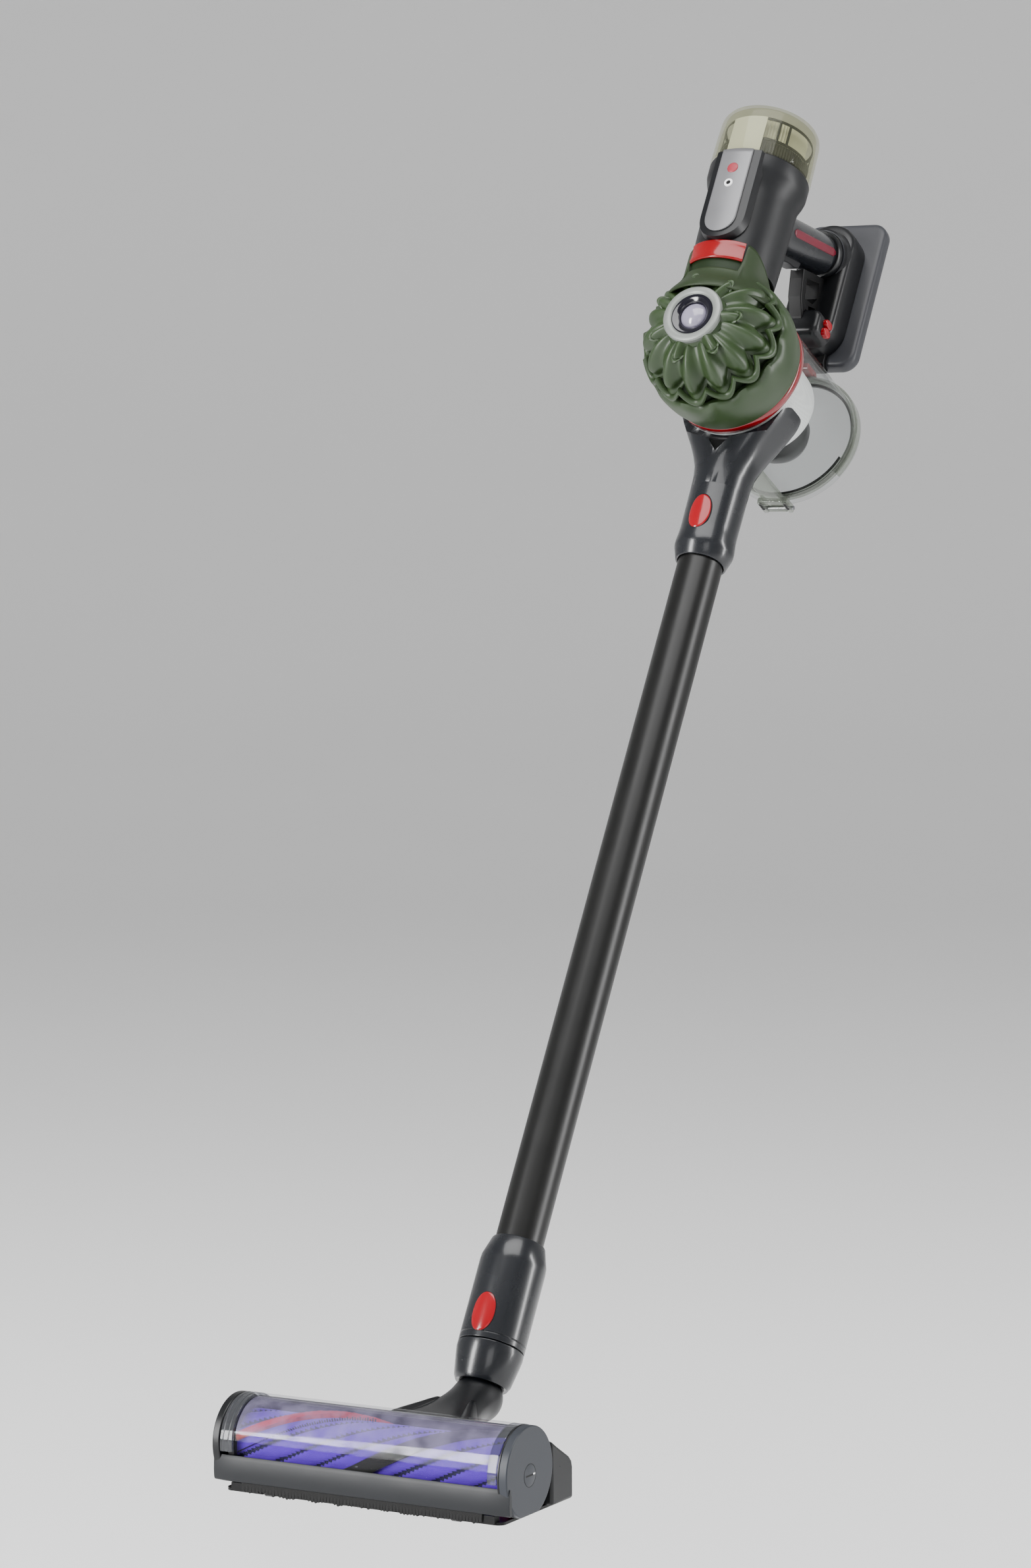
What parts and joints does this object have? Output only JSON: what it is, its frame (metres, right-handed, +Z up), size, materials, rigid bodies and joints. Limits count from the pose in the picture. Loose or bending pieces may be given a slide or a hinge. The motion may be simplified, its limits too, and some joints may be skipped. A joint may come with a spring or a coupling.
{
  "type": "cordless stick vacuum",
  "caption": "Cordless stick vacuum: motorised roller head, swivel neck, slim wand, clear dust bin with a cyclone, filter cap, pistol grip and clip-off battery.",
  "frame": {"origin": "on the floor, at the middle of the felt strip under the cleaner head", "axes": "+Z up from the floor, +X across the cleaner head towards its end cap, front of the head towards -Y, the stick leans back towards +Y"},
  "size_m": [0.252, 0.836, 1.0591],
  "materials": {
    "charcoal": "satin charcoal plastic",
    "black": "satin black plastic",
    "grey": "satin mid grey plastic",
    "olive": "satin olive green",
    "red": "gloss red plastic",
    "white": "gloss white plastic",
    "clear": "clear polycarbonate",
    "cap_clear": "tinted clear plastic",
    "silver": "brushed",
    "motor_alu": "cast and machined",
    "wand": "satin near-black anodised",
    "shroud": "fine perforated sheet",
    "rubber": "soft black rubber",
    "plush": "violet woven plush",
    "core": "violet plastic",
    "bristle_red": "red nylon bristle",
    "bristle_black": "black carbon bristle",
    "felt": "black felt",
    "filter": "pleated filter paper",
    "crimson": "crimson plastic",
    "cell": "blue sleeve"
  },
  "bodies": {
    "machine": {"motor_housing": "charcoal", "control_panel": "grey", "vacuum_motor": "motor_alu", "cyclone_base": "olive", "cyclone_outer_cones": "olive", "cyclone_inner_cones": "olive", "lens_ring": "silver", "lens_bezel": "black", "lens_dome": "silver", "shroud": "shroud", "shroud_boot": "rubber", "handle_grip": "charcoal", "grip_stripe_left": "crimson", "grip_stripe_right": "crimson", "handle_collar": "black", "trigger_guard": "black"},
    "fan": {"impeller": "motor_alu"},
    "filter": {"filter_cap": "cap_clear", "filter_core": "filter", "filter_band": "black", "cap_panel": "grey"},
    "power_key": {"power_button": "red"},
    "mode_key": {"mode_button": "white"},
    "lever": {"bin_lever": "red"},
    "trigger": {"trigger": "black"},
    "battery": {"battery_body": "black", "battery_base": "grey", "battery_cells": "cell"},
    "battery_key_left": {"battery_button_left": "red"},
    "battery_key_right": {"battery_button_right": "red"},
    "bin": {"bin_wall": "clear", "bin_ring": "red", "bin_runner": "clear", "door_hinge_pin": "silver", "inlet_duct": "charcoal"},
    "door": {"bin_door": "clear", "door_seal": "rubber"},
    "latch": {"door_latch": "red"},
    "wand_key": {"wand_release_button": "red"},
    "wand": {"wand_tube": "wand"},
    "collar": {"lower_collar": "charcoal", "swivel_cup": "charcoal"},
    "head_key": {"head_release_button": "red"},
    "elbow": {"neck_elbow": "black"},
    "head": {"head_housing": "charcoal", "sole_plate": "black", "felt_strip": "felt", "front_bumper": "grey", "clear_window": "clear", "end_plate": "black", "brush_motor": "motor_alu"},
    "end_cap": {"end_cap": "grey"},
    "lock": {"coin_lock": "grey"},
    "roller": {"roller_core": "core", "roller_plush": "plush", "bristle_strip_red": "bristle_red", "bristle_strip_black": "bristle_black", "drive_dog": "black"},
    "castor_left": {"castor_left": "black"},
    "castor_right": {"castor_right": "black"}
  },
  "joints": [
    {"name": "impeller_spin", "type": "hinge", "parent": "machine", "child": "fan", "pos_m": [0, 0.5499, 0.9517], "axis": [0, 0.509, 0.8607], "continuous": true},
    {"name": "filter_lift", "type": "slide", "parent": "machine", "child": "filter", "axis": [0, 0.509, 0.8607], "range_m": [0, 0.045]},
    {"name": "power_press", "type": "slide", "parent": "machine", "child": "power_key", "axis": [0, 0.8607, -0.509], "range_m": [0, 0.0012], "stiffness_N_per_m": 400},
    {"name": "mode_press", "type": "slide", "parent": "machine", "child": "mode_key", "axis": [0, 0.8607, -0.509], "range_m": [0, 0.0012], "stiffness_N_per_m": 400},
    {"name": "lever_pull", "type": "slide", "parent": "machine", "child": "lever", "axis": [0, -0.509, -0.8607], "range_m": [0, 0.008], "stiffness_N_per_m": 400, "springref_m": -0.002},
    {"name": "trigger_squeeze", "type": "slide", "parent": "machine", "child": "trigger", "axis": [0, 0.1719, 0.9851], "range_m": [0, 0.004], "stiffness_N_per_m": 900, "springref_m": -0.001},
    {"name": "battery_slide", "type": "slide", "parent": "machine", "child": "battery", "axis": [0, 0.8607, -0.509], "range_m": [0, 0.06]},
    {"name": "battery_key_left_press", "type": "slide", "parent": "battery", "child": "battery_key_left", "axis": [1, 0, 0], "range_m": [0, 0.002], "stiffness_N_per_m": 400},
    {"name": "battery_key_right_press", "type": "slide", "parent": "battery", "child": "battery_key_right", "axis": [-1, 0, 0], "range_m": [0, 0.002], "stiffness_N_per_m": 400},
    {"name": "bin_slide", "type": "slide", "parent": "machine", "child": "bin", "axis": [0, 0.8821, -0.471], "range_m": [0, 0.06]},
    {"name": "door_swing", "type": "hinge", "parent": "bin", "child": "door", "pos_m": [0, 0.61228, 0.72194], "axis": [-1, 0, 0], "range_deg": [0, 95]},
    {"name": "latch_slide", "type": "slide", "parent": "bin", "child": "latch", "axis": [0, -0.8821, 0.471], "range_m": [0, 0.005], "stiffness_N_per_m": 500, "springref_m": -0.001},
    {"name": "wand_key_press", "type": "slide", "parent": "bin", "child": "wand_key", "axis": [0, 0.8607, -0.509], "range_m": [0, 0.0018], "stiffness_N_per_m": 500},
    {"name": "wand_pull", "type": "slide", "parent": "bin", "child": "wand", "axis": [0, -0.509, -0.8607], "range_m": [0, 0.055]},
    {"name": "collar_pull", "type": "slide", "parent": "wand", "child": "collar", "axis": [0, -0.509, -0.8607], "range_m": [0, 0.055]},
    {"name": "head_key_press", "type": "slide", "parent": "collar", "child": "head_key", "axis": [0, 0.8607, -0.509], "range_m": [0, 0.0018], "stiffness_N_per_m": 500},
    {"name": "neck_swivel", "type": "hinge", "parent": "collar", "child": "elbow", "pos_m": [0, 0.09805, 0.05016], "axis": [0, 0.9789, 0.2045], "range_deg": [-30, 30]},
    {"name": "head_pitch", "type": "hinge", "parent": "elbow", "child": "head", "pos_m": [0, 0.01603, 0.03303], "axis": [1, 0, 0], "range_deg": [-25, 20]},
    {"name": "end_cap_pull", "type": "slide", "parent": "head", "child": "end_cap", "axis": [1, 0, 0], "range_m": [0, 0.025]},
    {"name": "lock_turn", "type": "hinge", "parent": "end_cap", "child": "lock", "pos_m": [0.121, -0.042, 0.033], "axis": [1, 0, 0], "range_deg": [0, 90]},
    {"name": "roller_spin", "type": "hinge", "parent": "head", "child": "roller", "pos_m": [0, -0.042, 0.033], "axis": [1, 0, 0], "continuous": true},
    {"name": "castor_left_spin", "type": "hinge", "parent": "head", "child": "castor_left", "pos_m": [-0.0795, -0.068, 0.004], "axis": [1, 0, 0], "continuous": true},
    {"name": "castor_right_spin", "type": "hinge", "parent": "head", "child": "castor_right", "pos_m": [0.0795, -0.068, 0.004], "axis": [1, 0, 0], "continuous": true}
  ]
}
